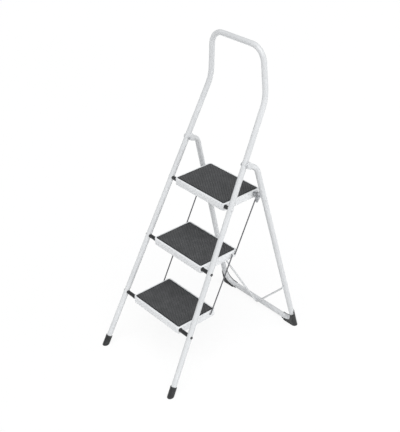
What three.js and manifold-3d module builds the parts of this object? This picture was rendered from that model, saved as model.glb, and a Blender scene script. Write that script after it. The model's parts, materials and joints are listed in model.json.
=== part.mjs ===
// A folding step stool: a bent-tube front frame with a tall hand rail, a hinged tube rear frame,
// three pressed-steel treads that fold together on side links, and plastic feet and shoes.
// Units are millimetres. X runs across the stool, the climber faces +Y, Z is up, and the floor is Z = 0.
import * as THREE from "three";
import { mergeVertices } from "three/addons/utils/BufferGeometryUtils.js";
import Module from "manifold-3d";

const wasm = await Module();
wasm.setup();

// ---- Driving dimensions ----
const GAP = 0.3; // air between pieces that touch
const TUBE_R = 11; // frame tube, outside
const BORE_R = 9.8; // frame tube, inside
const TUBE_SIDES = 12;

const RISER = 230; // height from one tread to the next
const FIRST_TREAD = 238; // top of the lowest mat
const LEAN = 0.528; // front legs: Y gained per unit of height
const FRONT_Y = -342; // front leg axis at the floor
const FRONT_HALF = 219; // front leg axis from the middle, at the floor
const FRONT_TAPER = 0.061; // front legs: X lost per unit of height
const BEND_Z = 1069; // where the legs bend into upright rails
const BEND_R = 155;
const RAIL_TOP_Z = 1261; // axis of the top bar
const RAIL_TOP_HALF = 139; // rail axis from the middle, at the top bar
const RAIL_CORNER_R = 62;

const PIVOT_Z = 840; // hinge between the two frames
const REAR_LEAN = 0.225;
const REAR_Y = 341; // rear leg axis at the floor
const REAR_HALF = 219;
const REAR_TAPER = 0.055;
const REAR_BAR_Z = 17; // axis of the rear floor bar
const REAR_CORNER_R = 52;
const NECK_FALL = THREE.MathUtils.degToRad(25); // fall of the neck behind the hinge
const NECK_R = 45;
const FORK_FROM = 26; // the rear tube is spread here into a fork, measured back from the hinge
const NECK_OUT = 40; // and is fully round from here
const CHEEK_THICK = 1.8;
const CHEEK_AIR = 1.4; // between the fork's cheeks and the front leg, which tapers past them

const PAN_HALF = 147; // treads: half the outside width
const PAN_FRONT = -8.5; // front and rear faces, measured from the axle
const PAN_REAR = 182;
const PAN_HEIGHT = 30;
const SHEET = 1.2;
const PAN_CORNER_R = 12;
const PAN_EDGE_R = 3;
const RIM = 6.5; // bright rim round the mat
const RECESS = 1.5;
const MAT_PROUD = 1;
const MAT_CORNER_R = 6;

const AXLE_R = 4;
const AXLE_DROP = 12; // axle below the top of the mat
const HOLE_CLEAR = 0.3; // round hole over its pin, on the radius
const SPACER_R = 8.5;
const HEAD_R = 5.5; // heads of the axles and the hinge rivets
const HEAD_H = 2.5;
const INNER_HEAD_H = 2; // heads on the inside of a leg or a tread
const SMALL_HEAD_R = 5; // heads of the studs and the hook rivets

const WIRE_R = 2.5;
const WIRE_SIDES = 8;
const WIRE_BEND_R = 4.4;
const LINK_X = PAN_HALF + 4.6; // axis of the link wires
const HOOK_END_X = PAN_HALF - 8; // free ends of the wires, inside the flange
const HOOK_CLEAR = 0.6;
const CLIP_R = 5.5;
const CLIP_THICK = 1.2;
const UPPER_LINK = { y: 165, z: -4 }; // hooks of the upper links, from either axle
const LOWER_LINK = { y: 152, z: -1 };

const CATCH_PIN = { y: 149, z: 1 }; // from the top axle
const CATCH_PIN_R = 3;
const CATCH_PLATE_HALF = 7;
const CATCH_PIN_END = PAN_HALF + 11;
const HOOK_PLATE_X = PAN_HALF + 7.8; // inner face of the hook plates
const HOOK_PLATE_THICK = 3;
const HOOK_LIP = 5; // material in front of the stud
const HOOK_LIP_RISE = 6; // top of the lip, above the stud's axis
const HOOK_FALL = THREE.MathUtils.degToRad(25); // slope of the open end
const HOOK_CREST = 2; // top of the plate behind the open end, above the stud's axis
const HOOK_BACK = 8; // material behind the rivet
const HOOK_BOSS_R = 8; // boss between the plate and the leg
const HOOK_RIVET_Z = 667;
const HOOK_RIVET_R = 2.5;
const HOOK_RIVET_SEAT = 0.35; // the rivet's flat head, as thin as the gap to the tread allows
const HOOK_TAIL = { y: 8, z: 651, r: 6 }; // rounded lower end, its y from the stud

const BRACE_R = 4;
const BRACE_JOIN_Z = 222;
const BRACE_APEX_DROP = -5; // the bend of the brace, below the axis of the floor bar

const CAP_R = 13.4; // front foot caps
const CAP_LENGTH = 45;
const SOLE = 5;
const SHOE_R = 13.2; // rear shoes, round like the tube
const SHOE_INNER_X = 152;
const SHOE_FRONT_TOP = 65;
const SHOE_REAR_TOP = 79;
const SHOE_SOLE_HALF = 8;

// ---- Derived places ----
const frontY = (z) => FRONT_Y + LEAN * z;
const frontX = (z) => FRONT_HALF - FRONT_TAPER * z;
const rearY = (z) => REAR_Y - REAR_LEAN * z;
const rearX = (z) => REAR_HALF - REAR_TAPER * z;
const TREADS = ["bottom", "middle", "top"].map((name, i) => {
  const matTop = FIRST_TREAD + i * RISER;
  const axleZ = matTop - AXLE_DROP;
  return { name, matTop, axleZ, axleY: frontY(axleZ) };
});
const TOP = TREADS[2];
const PIVOT_Y = frontY(PIVOT_Z);
const PIVOT_X = frontX(PIVOT_Z);
const FORK_HALF = TUBE_R + CHEEK_AIR + CHEEK_THICK;
// A flat rivet head sits this far out, clear of the tapering tube under it.
const headSeat = (x, taper) => x + TUBE_R + GAP + HEAD_R * taper;

// ---- Materials ----
const material = (color, roughness, metalness) =>
  new THREE.MeshStandardMaterial({ color, roughness, metalness });
const WHITE_PAINT = material(0xe9eaec, 0.42, 0.1);
const BLACK_MAT = material(0x2b2c2e, 0.85, 0);
const BLACK_PLASTIC = material(0x1c1d1f, 0.55, 0);
const STEEL = material(0x6f7276, 0.4, 0.9);
const DARK_STEEL = material(0x3a3c40, 0.5, 0.8);

// ---- Solids ----
function toSolid(geometry) {
  const bare = geometry.clone();
  bare.deleteAttribute("normal");
  bare.deleteAttribute("uv");
  const merged = mergeVertices(bare, 1e-4);
  return new wasm.Manifold(
    new wasm.Mesh({
      numProp: 3,
      vertProperties: new Float32Array(merged.attributes.position.array),
      triVerts: new Uint32Array(merged.index.array),
    }),
  );
}

function toGeometry(solid) {
  const mesh = solid.getMesh();
  const geometry = new THREE.BufferGeometry();
  geometry.setAttribute("position", new THREE.BufferAttribute(mesh.vertProperties, 3));
  geometry.setIndex(new THREE.BufferAttribute(mesh.triVerts, 1));
  geometry.computeVertexNormals();
  return geometry;
}

function box(x0, x1, y0, y1, z0, z1) {
  const geometry = new THREE.BoxGeometry(x1 - x0, y1 - y0, z1 - z0);
  geometry.translate((x0 + x1) / 2, (y0 + y1) / 2, (z0 + z1) / 2);
  return toSolid(geometry);
}

const v = (x, y, z) => new THREE.Vector3(x, y, z);

// A cylinder from a to b.
function rod(a, b, radius, sides = 20) {
  const along = b.clone().sub(a);
  const geometry = new THREE.CylinderGeometry(radius, radius, along.length(), sides);
  const turn = new THREE.Quaternion().setFromUnitVectors(v(0, 1, 0), along.clone().normalize());
  geometry.applyQuaternion(turn);
  geometry.translate((a.x + b.x) / 2, (a.y + b.y) / 2, (a.z + b.z) / 2);
  return toSolid(geometry);
}

const rodX = (x0, x1, y, z, radius, sides) => rod(v(x0, y, z), v(x1, y, z), radius, sides);

// A low domed rivet head whose flat face is at x and whose dome points along `side`.
function domedHead(x, y, z, radius, height, side) {
  const profile = [new THREE.Vector2(0, 0), new THREE.Vector2(radius, 0)];
  const steps = 3;
  for (let i = 1; i < steps; i += 1) {
    const angle = (i / steps) * (Math.PI / 2);
    profile.push(new THREE.Vector2(radius * Math.cos(angle), height * Math.sin(angle)));
  }
  profile.push(new THREE.Vector2(0, height));
  const geometry = new THREE.LatheGeometry(profile, 12);
  geometry.rotateZ(side > 0 ? -Math.PI / 2 : Math.PI / 2);
  geometry.translate(x, y, z);
  return toSolid(geometry);
}

// ---- Curves ----
// A curve through given stations, so that an extrusion has one section at each of them.
class StationCurve extends THREE.Curve {
  constructor(stations) {
    super();
    this.stations = stations;
  }

  getPointAt(u) {
    const last = this.stations.length - 1;
    const place = Math.min(u * last, last);
    const i = Math.min(Math.floor(place + 1e-9), last - 1);
    return this.stations[i].clone().lerp(this.stations[i + 1], place - i);
  }

  getTangentAt(u) {
    const last = this.stations.length - 1;
    const i = Math.round(u * last);
    const before = this.stations[Math.max(i - 1, 0)];
    const here = this.stations[i];
    const after = this.stations[Math.min(i + 1, last)];
    const into = here.clone().sub(before).normalize();
    const out = after.clone().sub(here).normalize();
    return into.add(out).normalize();
  }
}

// Stations along straight lines between corners, with a round bend of its own radius at each corner.
function bentPath(corners, stepAngle = Math.PI / 12) {
  const stations = [corners[0].at.clone()];
  for (let i = 1; i < corners.length - 1; i += 1) {
    const { at, radius } = corners[i];
    const into = at.clone().sub(corners[i - 1].at).normalize();
    const out = corners[i + 1].at.clone().sub(at).normalize();
    const turn = into.angleTo(out);
    const reach = radius * Math.tan(turn / 2);
    const inward = out.clone().sub(into).normalize();
    const centre = at.clone().addScaledVector(inward, radius / Math.cos(turn / 2));
    const first = at.clone().addScaledVector(into, -reach).sub(centre);
    const axis = into.clone().cross(out).normalize();
    const steps = Math.max(2, Math.ceil(turn / stepAngle));
    for (let k = 0; k <= steps; k += 1) {
      stations.push(first.clone().applyAxisAngle(axis, (turn * k) / steps).add(centre));
    }
  }
  stations.push(corners[corners.length - 1].at.clone());
  return stations;
}

function tubeGeometry(stations, outer, inner, sides) {
  const section = new THREE.Shape().absarc(0, 0, outer, 0, Math.PI * 2, false);
  if (inner > 0) section.holes.push(new THREE.Path().absarc(0, 0, inner, 0, Math.PI * 2, true));
  return new THREE.ExtrudeGeometry(section, {
    steps: stations.length - 1,
    extrudePath: new StationCurve(stations),
    curveSegments: sides / 2,
    bevelEnabled: false,
  });
}

const tube = (stations, outer, inner, sides) => toSolid(tubeGeometry(stations, outer, inner, sides));

// A flat plate with its outline in the YZ plane, between the distances x0 and x1 from the middle.
function plateX(shape, side, x0, x1) {
  const geometry = new THREE.ExtrudeGeometry(shape, {
    depth: x1 - x0,
    bevelEnabled: false,
    curveSegments: 4,
  });
  const across = new THREE.Matrix4().makeBasis(v(0, 1, 0), v(0, 0, 1), v(1, 0, 0));
  geometry.applyMatrix4(across);
  geometry.translate(side > 0 ? x0 : -x1, 0, 0);
  return toSolid(geometry);
}

function roundedRect(x0, x1, y0, y1, r) {
  const shape = new THREE.Shape();
  shape.moveTo(x0 + r, y0);
  shape.lineTo(x1 - r, y0);
  shape.absarc(x1 - r, y0 + r, r, -Math.PI / 2, 0, false);
  shape.absarc(x1 - r, y1 - r, r, 0, Math.PI / 2, false);
  shape.absarc(x0 + r, y1 - r, r, Math.PI / 2, Math.PI, false);
  shape.absarc(x0 + r, y0 + r, r, Math.PI, Math.PI * 1.5, false);
  return shape;
}

// A slab with upright rounded corners whose upper edge is rounded by `edge`.
function softSlab(x, y0, y1, corner, edge, z0, z1) {
  const shape = roundedRect(-x, x, y0, y1, corner);
  const geometry = new THREE.ExtrudeGeometry(shape, {
    depth: z1 - z0,
    bevelEnabled: true,
    bevelThickness: edge,
    bevelSize: edge,
    bevelOffset: -edge,
    bevelSegments: 2,
    curveSegments: 2,
  });
  geometry.translate(0, 0, z0 - edge);
  return toSolid(geometry).intersect(box(-x - 1, x + 1, y0 - 1, y1 + 1, z0, z1));
}

// ---- The stool ----
const stool = new THREE.Group();

function add(name, solid, look) {
  const mesh = new THREE.Mesh(toGeometry(solid), look);
  mesh.name = name;
  stool.add(mesh);
}

const SIDES = [
  { word: "left", side: -1 },
  { word: "right", side: 1 },
];

// ---- Front frame: one tube from foot to foot, over the hand rail ----
function frontStations() {
  const footZ = SOLE + 3;
  const rightSide = [
    { at: v(frontX(footZ), frontY(footZ), footZ) },
    { at: v(frontX(BEND_Z), frontY(BEND_Z), BEND_Z), radius: BEND_R },
    { at: v(RAIL_TOP_HALF, frontY(BEND_Z), RAIL_TOP_Z), radius: RAIL_CORNER_R },
  ];
  const leftSide = rightSide
    .map(({ at, radius }) => ({ at: v(-at.x, at.y, at.z), radius }))
    .reverse();
  return bentPath([...rightSide, ...leftSide]);
}

function frontFrame() {
  let solid = tube(frontStations(), TUBE_R, BORE_R, TUBE_SIDES);
  const holes = [...TREADS.map((t) => [t.axleY, t.axleZ]), [PIVOT_Y, PIVOT_Z]];
  for (const [y, z] of holes) {
    solid = solid.subtract(rodX(-300, 300, y, z, AXLE_R + HOLE_CLEAR, 12));
  }
  return solid;
}

// A straight stretch of front leg with the given radius, for cutting what fits round it.
function legCore(side, radius, z0, z1) {
  const low = v(side * frontX(z0), frontY(z0), z0);
  const high = v(side * frontX(z1), frontY(z1), z1);
  return rod(low, high, radius, 16);
}

// A rubber cap over a tube end, cut level with the floor.
function frontFoot(side) {
  const floor = v(side * frontX(0), frontY(0), 0);
  const along = v(-side * FRONT_TAPER, LEAN, 1).normalize();
  const top = floor.clone().addScaledVector(along, CAP_LENGTH);
  const bottom = floor.clone().addScaledVector(along, -20);
  const aboveFloor = box(-400, 400, -600, 600, 0, 200);
  const pocket = legCore(side, TUBE_R + GAP, SOLE, 120);
  return rod(bottom, top, CAP_R, 20).intersect(aboveFloor).subtract(pocket);
}

add("front_frame", frontFrame(), WHITE_PAINT);
for (const { word, side } of SIDES) add(`front_foot_${word}`, frontFoot(side), BLACK_PLASTIC);

// ---- Rear frame: one tube round the floor bar, whose ends are forks round the front legs ----
const NECK_COS = Math.cos(NECK_FALL);
const NECK_SIN = Math.sin(NECK_FALL);

// Distance behind the hinge, along the neck.
const reachOf = (p) => (p.y - PIVOT_Y) * NECK_COS - (p.z - PIVOT_Z) * NECK_SIN;

function rearStations() {
  const slope = Math.tan(NECK_FALL);
  const kneeZ = (PIVOT_Z + slope * (PIVOT_Y - REAR_Y)) / (1 - slope * REAR_LEAN);
  const start = v(PIVOT_X, PIVOT_Y + FORK_FROM * NECK_COS, PIVOT_Z - FORK_FROM * NECK_SIN);
  const half = bentPath([
    { at: start },
    { at: v(rearX(kneeZ), rearY(kneeZ), kneeZ), radius: NECK_R },
    { at: v(rearX(REAR_BAR_Z), rearY(REAR_BAR_Z), REAR_BAR_Z), radius: REAR_CORNER_R },
    { at: v(0, rearY(REAR_BAR_Z), REAR_BAR_Z) },
  ]).slice(0, -1);
  const neck = [1, 2, 3, 4].map((i) => start.clone().lerp(half[1], i / 5));
  half.splice(1, 0, ...neck);
  const otherHalf = half.map((p) => v(-p.x, p.y, p.z)).reverse();
  return [...half, ...otherHalf];
}

// Spreads the tube ends sideways, to the width of the fork.
function spreadEnds(geometry, stations) {
  const places = geometry.attributes.position;
  const rings = stations.filter((p) => p.z > PIVOT_Z - 60 && reachOf(p) < NECK_OUT);
  for (let i = 0; i < places.count; i += 1) {
    const p = new THREE.Vector3().fromBufferAttribute(places, i);
    const ring = rings
      .filter((q) => q.x * p.x > 0)
      .reduce((best, q) => (q.distanceTo(p) < best.distanceTo(p) ? q : best));
    if (ring.distanceTo(p) > TUBE_R + 1) continue;
    const open = 1 - THREE.MathUtils.smoothstep(reachOf(ring), FORK_FROM, NECK_OUT);
    places.setX(i, ring.x + (p.x - ring.x) * THREE.MathUtils.lerp(1, FORK_HALF / TUBE_R, open));
  }
  return geometry;
}

// A cheek of the fork, from the rounded tongue at the hinge to the tube. Its outline is given as
// distances behind the hinge and across the neck.
function cheek(side, x0) {
  const outline = [
    [-6, -4.5], [-2, -7.2], [4, -9], [18, -10.6], [30, -10.8], [31, 10.8],
    [9, 20.5], [5, 20], [0, 13], [-5, 6], [-7.4, 1],
  ];
  const shape = new THREE.Shape(
    outline.map(([reach, across]) => new THREE.Vector2(
      PIVOT_Y + reach * NECK_COS + across * NECK_SIN,
      PIVOT_Z - reach * NECK_SIN + across * NECK_COS,
    )),
  );
  return plateX(shape, side, x0, x0 + CHEEK_THICK);
}

function rearFrame() {
  const path = rearStations();
  let solid = toSolid(spreadEnds(tubeGeometry(path, TUBE_R, BORE_R, TUBE_SIDES), path));
  for (const { side } of SIDES) {
    solid = solid
      .add(cheek(side, PIVOT_X - FORK_HALF))
      .add(cheek(side, PIVOT_X + FORK_HALF - CHEEK_THICK));
  }
  const hinge = rodX(-300, 300, PIVOT_Y, PIVOT_Z, AXLE_R + HOLE_CLEAR, 12);
  const hook = rodX(-300, 300, rearY(HOOK_RIVET_Z), HOOK_RIVET_Z, HOOK_RIVET_R + HOLE_CLEAR, 12);
  return solid.subtract(hinge).subtract(hook);
}

// The plane of the rear frame: X across, then up along the legs, then out towards the climber.
const REAR_TILT = Math.atan(REAR_LEAN);
const REAR_PLANE = new THREE.Matrix4()
  .makeRotationX(Math.PI / 2 + REAR_TILT)
  .setPosition(0, rearY(REAR_BAR_Z), REAR_BAR_Z);
const inRearPlane = (x, up, out) => v(x, up, out).applyMatrix4(REAR_PLANE);

function rearPlate(points, side, out0, out1) {
  const shape = new THREE.Shape(points.map(([x, up]) => new THREE.Vector2(side * x, up)));
  const geometry = new THREE.ExtrudeGeometry(shape, { depth: out1 - out0, bevelEnabled: false });
  geometry.translate(0, 0, out0);
  geometry.applyMatrix4(REAR_PLANE);
  return toSolid(geometry);
}

// A plastic shoe round a bottom corner of the rear frame. It follows the tube, fills the corner down
// to the floor, and is open to the inside of the bend: wide in front, narrow behind.
function rearShoe(side) {
  const barX = rearX(REAR_BAR_Z);
  const corner = v(side * barX, rearY(REAR_BAR_Z), REAR_BAR_Z);
  const legTop = inRearPlane(side * (barX - 3), SHOE_REAR_TOP - REAR_BAR_Z, 0);
  const barEnd = v(side * SHOE_INNER_X, corner.y, corner.z);
  const bend = (a, b) => bentPath([{ at: a }, { at: corner, radius: REAR_CORNER_R }, { at: b }]);
  const legLine = corner.clone().sub(legTop).normalize();
  const heel = corner.clone().addScaledVector(legLine, 2 * REAR_BAR_Z);
  const plate = (spots, out0, out1) =>
    rearPlate(spots.map(([inward, up]) => [barX - inward, up]), side, out0, out1);

  const fill = [[0, -40], [0, 52], [7, 27], [15, 15], [27, 7], [52, 0], [52, -40]];
  const sole = [[0, -40], [0, 0], [barX - SHOE_INNER_X, -9], [barX - SHOE_INNER_X, -40]];
  const frontTop = SHOE_FRONT_TOP - REAR_BAR_Z;
  const frontOpening = [
    [-40, 120], [-40, frontTop], [3, frontTop], [5, 32], [16, 16], [32, 3],
    [52, -6], [100, -10], [100, 120],
  ];
  const rearOpening = [[9, 120], [10, 52], [13, 36], [22, 22], [36, 13], [52, 10], [100, 10], [100, 120]];
  const above = legTop.clone().addScaledVector(legLine, -40);
  const beyond = barEnd.clone().add(v(-side * 40, 0, 0));
  return tube(bend(legTop, barEnd), SHOE_R, 0, 16)
    .add(rod(heel, legTop, SHOE_R, 16))
    .add(rod(corner, barEnd, SHOE_R, 16))
    .add(plate(fill, -SHOE_R, SHOE_R))
    .add(plate(sole, -SHOE_SOLE_HALF, SHOE_SOLE_HALF))
    .subtract(tube(bend(above, beyond), TUBE_R + 2 * GAP, 0, 16))
    .subtract(plate(frontOpening, 0, 40))
    .subtract(plate(rearOpening, -40, 0.01))
    .intersect(box(-400, 400, 0, 600, 0, 200));
}

// The bent wire that braces the rear legs against the middle of the floor bar.
function rearBrace() {
  const out = TUBE_R + BRACE_R + GAP;
  const up = (BRACE_JOIN_Z - REAR_BAR_Z) / Math.cos(REAR_TILT);
  const end = rearX(BRACE_JOIN_Z) + 3;
  const stations = bentPath([
    { at: inRearPlane(-end, up, out) },
    { at: inRearPlane(0, BRACE_APEX_DROP, out), radius: 18 },
    { at: inRearPlane(end, up, out) },
  ]);
  return tube(stations, BRACE_R, 0, WIRE_SIDES);
}

add("rear_frame", rearFrame(), WHITE_PAINT);
add("rear_brace", rearBrace(), WHITE_PAINT);
for (const { word, side } of SIDES) add(`rear_shoe_${word}`, rearShoe(side), BLACK_PLASTIC);

// ---- Hinge rivets between the two frames ----
function pivotRivet(side) {
  const inner = PIVOT_X - FORK_HALF - GAP;
  const outer = PIVOT_X + FORK_HALF + GAP;
  return rodX(side * inner, side * outer, PIVOT_Y, PIVOT_Z, AXLE_R, 12)
    .add(domedHead(side * inner, PIVOT_Y, PIVOT_Z, HEAD_R, INNER_HEAD_H, -side))
    .add(domedHead(side * outer, PIVOT_Y, PIVOT_Z, HEAD_R, HEAD_H, side));
}

for (const { word, side } of SIDES) add(`pivot_rivet_${word}`, pivotRivet(side), STEEL);

// ---- Treads: a pressed pan, its mat, its axle and the two spacers on the axle ----
function flatPad(x, y0, y1, corner, z0, z1) {
  const shape = roundedRect(-x, x, y0, y1, corner);
  const geometry = new THREE.ExtrudeGeometry(shape, {
    depth: z1 - z0,
    bevelEnabled: false,
    curveSegments: 2,
  });
  geometry.translate(0, 0, z0);
  return toSolid(geometry);
}

function pan({ name, matTop, axleY, axleZ }) {
  const top = matTop - MAT_PROUD;
  const low = top - PAN_HEIGHT;
  const front = axleY + PAN_FRONT;
  const rear = axleY + PAN_REAR;
  const padded = (grow, corner, z0, z1) =>
    flatPad(PAN_HALF - RIM + grow, front + RIM - grow, rear - RIM + grow, corner, z0, z1);
  const slab = (inset, z0, z1) =>
    softSlab(PAN_HALF - inset, front + inset, rear - inset,
      PAN_CORNER_R - inset, PAN_EDGE_R - inset, z0, z1);
  const outside = slab(0, low, top)
    .subtract(padded(0, MAT_CORNER_R, top - RECESS, top + 5));
  const inside = slab(SHEET, low - 5, top - SHEET)
    .subtract(padded(SHEET, MAT_CORNER_R + SHEET, top - RECESS - SHEET, top + 5));
  let solid = outside.subtract(inside);
  solid = solid.subtract(rodX(-200, 200, axleY, axleZ, AXLE_R + HOLE_CLEAR, 12));
  const hooks = [];
  if (name !== "bottom") hooks.push(name === "top" ? UPPER_LINK : LOWER_LINK);
  if (name !== "top") hooks.push(name === "bottom" ? LOWER_LINK : UPPER_LINK);
  for (const { y, z } of hooks) {
    solid = solid.subtract(rodX(-200, 200, axleY + y, axleZ + z, WIRE_R + HOOK_CLEAR, 12));
  }
  if (name === "top") {
    const stud = rodX(-200, 200, axleY + CATCH_PIN.y, axleZ + CATCH_PIN.z, CATCH_PIN_R + GAP, 12);
    solid = solid.subtract(stud);
  }
  return solid;
}

function mat({ matTop, axleY }) {
  const inset = RIM + GAP;
  const floor = matTop - MAT_PROUD - RECESS + GAP;
  return flatPad(PAN_HALF - inset, axleY + PAN_FRONT + inset, axleY + PAN_REAR - inset,
    MAT_CORNER_R, floor, matTop);
}

function axle({ axleY, axleZ }) {
  const end = headSeat(frontX(axleZ), FRONT_TAPER);
  return rodX(-end, end, axleY, axleZ, AXLE_R, 12)
    .add(domedHead(-end, axleY, axleZ, HEAD_R, HEAD_H, -1))
    .add(domedHead(end, axleY, axleZ, HEAD_R, HEAD_H, 1));
}

function spacer({ axleY, axleZ }, side) {
  const inner = side * (PAN_HALF + GAP);
  const outer = side * (frontX(axleZ) - 2);
  return rodX(inner, outer, axleY, axleZ, SPACER_R, 16)
    .subtract(legCore(side, TUBE_R + GAP, axleZ - 40, axleZ + 40))
    .subtract(rodX(-300, 300, axleY, axleZ, AXLE_R + HOLE_CLEAR, 12));
}

for (const tread of TREADS) {
  add(`${tread.name}_step`, pan(tread), WHITE_PAINT);
  add(`${tread.name}_mat`, mat(tread), BLACK_MAT);
  add(`${tread.name}_axle`, axle(tread), tread.name === "top" ? WHITE_PAINT : DARK_STEEL);
  for (const { word, side } of SIDES) {
    add(`${tread.name}_spacer_${word}`, spacer(tread, side), BLACK_PLASTIC);
  }
}

// ---- Side links: hooked wires that keep the treads parallel, each end held by a push-on clip ----
function link(from, to, side) {
  const stations = bentPath(
    [
      { at: v(side * HOOK_END_X, from.y, from.z) },
      { at: v(side * LINK_X, from.y, from.z), radius: WIRE_BEND_R },
      { at: v(side * LINK_X, to.y, to.z), radius: WIRE_BEND_R },
      { at: v(side * HOOK_END_X, to.y, to.z) },
    ],
    Math.PI / 8,
  );
  return tube(stations, WIRE_R, 0, WIRE_SIDES);
}

function clip({ y, z }, side) {
  const outer = PAN_HALF - SHEET - 2 * GAP;
  return rodX(side * (outer - CLIP_THICK), side * outer, y, z, CLIP_R, 12)
    .subtract(rodX(-200, 200, y, z, WIRE_R + GAP / 2, 8));
}

const hookPlace = (tread, hook) => ({ y: tread.axleY + hook.y, z: tread.axleZ + hook.z });
const LINKS = [
  { name: "upper_link", high: TREADS[2], low: TREADS[1], hook: UPPER_LINK },
  { name: "lower_link", high: TREADS[1], low: TREADS[0], hook: LOWER_LINK },
];
for (const { name, high, low, hook } of LINKS) {
  for (const { word, side } of SIDES) {
    const from = hookPlace(high, hook);
    const to = hookPlace(low, hook);
    add(`${name}_${word}`, link(from, to, side), DARK_STEEL);
    add(`${name}_${word}_top_clip`, clip(from, side), STEEL);
    add(`${name}_${word}_bottom_clip`, clip(to, side), STEEL);
  }
}

// ---- Catches: a stud on each side of the top tread rests in a hook on each rear leg ----
const PIN = { y: TOP.axleY + CATCH_PIN.y, z: TOP.axleZ + CATCH_PIN.z };

function catchStud(side) {
  const inner = PAN_HALF - SHEET - GAP;
  return rodX(side * inner, side * CATCH_PIN_END, PIN.y, PIN.z, CATCH_PIN_R, 14)
    .add(domedHead(side * inner, PIN.y, PIN.z, SMALL_HEAD_R, INNER_HEAD_H, -side));
}

function catchPlate(side) {
  const x0 = PAN_HALF + GAP;
  const h = CATCH_PLATE_HALF;
  const shape = new THREE.Shape()
    .moveTo(PIN.y - h, PIN.z - h)
    .lineTo(PIN.y + h, PIN.z - h)
    .lineTo(PIN.y + h, PIN.z + h)
    .lineTo(PIN.y - h, PIN.z + h);
  return plateX(shape, side, x0, x0 + 1.5)
    .subtract(rodX(-200, 200, PIN.y, PIN.z, CATCH_PIN_R + GAP, 14));
}

// The hook opens upwards for the stud and falls away behind it, so that the rear frame can also
// swing forward from under the stud.
function treadHook(side) {
  const rivet = { y: rearY(HOOK_RIVET_Z), z: HOOK_RIVET_Z };
  const slot = CATCH_PIN_R + HOOK_CLEAR;
  const back = rivet.y + HOOK_BACK;
  const crestY = PIN.y + (HOOK_CREST + slot / Math.cos(HOOK_FALL)) / Math.tan(HOOK_FALL);
  const shape = new THREE.Shape()
    .moveTo(PIN.y - slot - HOOK_LIP, PIN.z + HOOK_LIP_RISE)
    .lineTo(PIN.y - slot, PIN.z + HOOK_LIP_RISE)
    .lineTo(PIN.y - slot, PIN.z);
  shape.absarc(PIN.y, PIN.z, slot, Math.PI, 1.5 * Math.PI + HOOK_FALL, false);
  shape.lineTo(crestY, PIN.z + HOOK_CREST);
  shape.lineTo(back, PIN.z + HOOK_CREST);
  shape.lineTo(back, rivet.z);
  shape.absarc(PIN.y + HOOK_TAIL.y, HOOK_TAIL.z, HOOK_TAIL.r, -0.35, -Math.PI + 0.1, true);
  const x0 = HOOK_PLATE_X;
  const x1 = x0 + HOOK_PLATE_THICK;
  const legLow = v(side * rearX(rivet.z - 40), rearY(rivet.z - 40), rivet.z - 40);
  const legHigh = v(side * rearX(rivet.z + 40), rearY(rivet.z + 40), rivet.z + 40);
  return plateX(shape, side, x0, x1)
    .add(rodX(side * (x1 - 1), side * (rearX(rivet.z) - 2), rivet.y, rivet.z, HOOK_BOSS_R, 20))
    .subtract(rod(legLow, legHigh, TUBE_R + GAP, 16))
    .subtract(rodX(-300, 300, rivet.y, rivet.z, HOOK_RIVET_R + HOLE_CLEAR, 14));
}

function hookRivet(side) {
  const z = HOOK_RIVET_Z;
  const y = rearY(z);
  const inner = HOOK_PLATE_X - GAP;
  const outer = headSeat(rearX(z), REAR_TAPER);
  return rodX(side * inner, side * outer, y, z, HOOK_RIVET_R, 12)
    .add(domedHead(side * inner, y, z, SMALL_HEAD_R, HOOK_RIVET_SEAT, -side))
    .add(domedHead(side * outer, y, z, SMALL_HEAD_R, INNER_HEAD_H, side));
}

for (const { word, side } of SIDES) {
  add(`catch_stud_${word}`, catchStud(side), STEEL);
  add(`catch_plate_${word}`, catchPlate(side), STEEL);
  add(`tread_hook_${word}`, treadHook(side), STEEL);
  add(`hook_rivet_${word}`, hookRivet(side), WHITE_PAINT);
}

// The origin is the middle of the footprint.
const extent = new THREE.Box3().setFromObject(stool);
stool.position.y = -(extent.min.y + extent.max.y) / 2;
stool.updateMatrixWorld(true);

export default stool;
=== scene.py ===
"""The looks of a folding step stool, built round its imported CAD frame. Units are metres."""

import json
import math

import bmesh
import bpy
from mathutils import Matrix, Vector

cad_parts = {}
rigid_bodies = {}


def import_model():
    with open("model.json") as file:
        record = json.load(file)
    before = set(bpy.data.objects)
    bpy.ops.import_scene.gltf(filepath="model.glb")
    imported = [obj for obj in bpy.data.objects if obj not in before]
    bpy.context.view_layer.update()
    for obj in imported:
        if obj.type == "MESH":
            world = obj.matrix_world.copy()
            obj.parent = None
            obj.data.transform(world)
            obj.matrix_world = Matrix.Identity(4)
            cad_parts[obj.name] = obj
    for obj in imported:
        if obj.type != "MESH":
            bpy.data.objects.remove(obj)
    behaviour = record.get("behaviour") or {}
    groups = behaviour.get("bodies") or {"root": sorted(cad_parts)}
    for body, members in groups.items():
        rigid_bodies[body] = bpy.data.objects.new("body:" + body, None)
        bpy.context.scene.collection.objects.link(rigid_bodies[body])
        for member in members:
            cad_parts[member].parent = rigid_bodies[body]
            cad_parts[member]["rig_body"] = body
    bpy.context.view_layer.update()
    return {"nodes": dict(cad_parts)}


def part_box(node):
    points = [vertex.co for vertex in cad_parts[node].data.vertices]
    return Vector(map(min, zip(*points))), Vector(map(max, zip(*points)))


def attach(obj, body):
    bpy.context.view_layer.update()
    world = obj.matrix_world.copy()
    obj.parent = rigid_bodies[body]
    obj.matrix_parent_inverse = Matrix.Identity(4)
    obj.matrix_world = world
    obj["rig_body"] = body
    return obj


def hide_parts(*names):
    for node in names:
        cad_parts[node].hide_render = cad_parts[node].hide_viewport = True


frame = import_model()
MM = 0.001

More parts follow.
